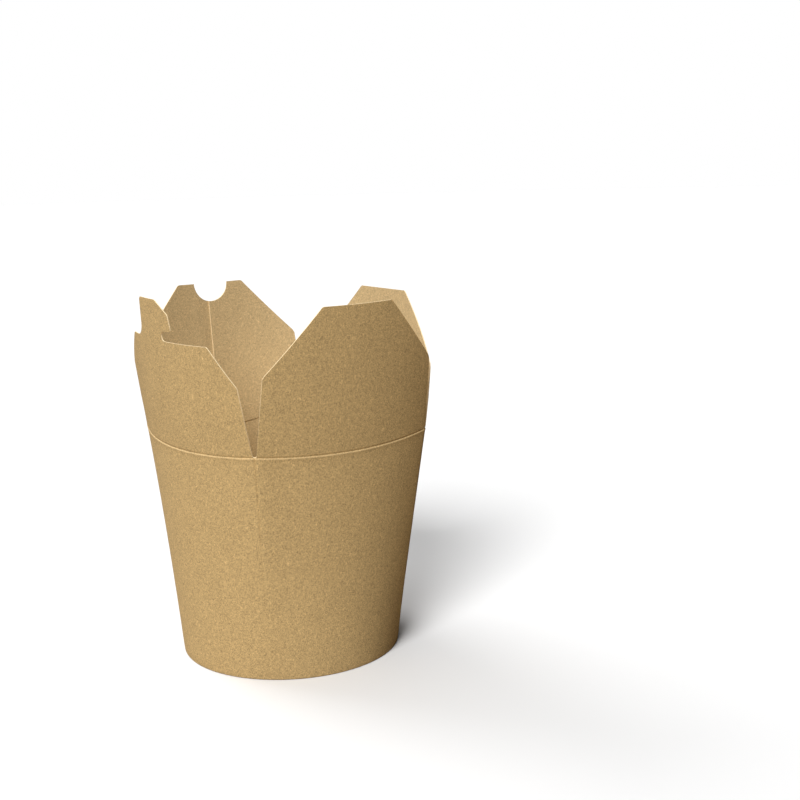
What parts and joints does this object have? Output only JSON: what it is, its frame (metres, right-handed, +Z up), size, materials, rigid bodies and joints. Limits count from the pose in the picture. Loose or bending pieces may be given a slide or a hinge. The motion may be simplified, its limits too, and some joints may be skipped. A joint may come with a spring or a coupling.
{
  "type": "noodle takeaway box",
  "caption": "Round-based paper food box with a squarish mouth, standing open, with two long closing flaps, tongue and slit, and two dust flaps, to hold hot food.",
  "frame": {"origin": "on the surface that the box stands on, under the middle of the whole part", "axes": "+Z up, -Y towards the tongue flap's side, +Y towards the flap with the slit, +X towards the plain dust flap, -X towards the notched dust flap and the glued side seam"},
  "size_m": [0.1262, 0.1129, 0.1622],
  "materials": {
    "kraft_board": "matt unprinted brown kraft board, fine speckled fibres, film-coated inside",
    "kraft_base": "matt unprinted brown kraft board disc, film-coated inside"
  },
  "bodies": {
    "box": {"wall": "kraft_board", "base": "kraft_base"},
    "tongue_flap": {"flap_tongue": "kraft_board"},
    "slit_flap": {"flap_slit": "kraft_board"},
    "plain_flap": {"flap_plain": "kraft_board"},
    "notched_flap": {"flap_notched": "kraft_board"}
  },
  "joints": [
    {"name": "tongue_fold", "type": "hinge", "parent": "box", "child": "tongue_flap", "pos_m": [0, -0.04272, 0.1005], "axis": [-1, 0, 0], "range_deg": [0, 100.7]},
    {"name": "slit_fold", "type": "hinge", "parent": "box", "child": "slit_flap", "pos_m": [0, 0.04272, 0.1005], "axis": [1, 0, 0], "range_deg": [0, 102.5]},
    {"name": "plain_fold", "type": "hinge", "parent": "box", "child": "plain_flap", "pos_m": [0.04925, 0, 0.0994], "axis": [0, -1, 0], "range_deg": [0, 103.7]},
    {"name": "notched_fold", "type": "hinge", "parent": "box", "child": "notched_flap", "pos_m": [-0.04925, 0, 0.0994], "axis": [0, 1, 0], "range_deg": [0, 105.7]}
  ]
}
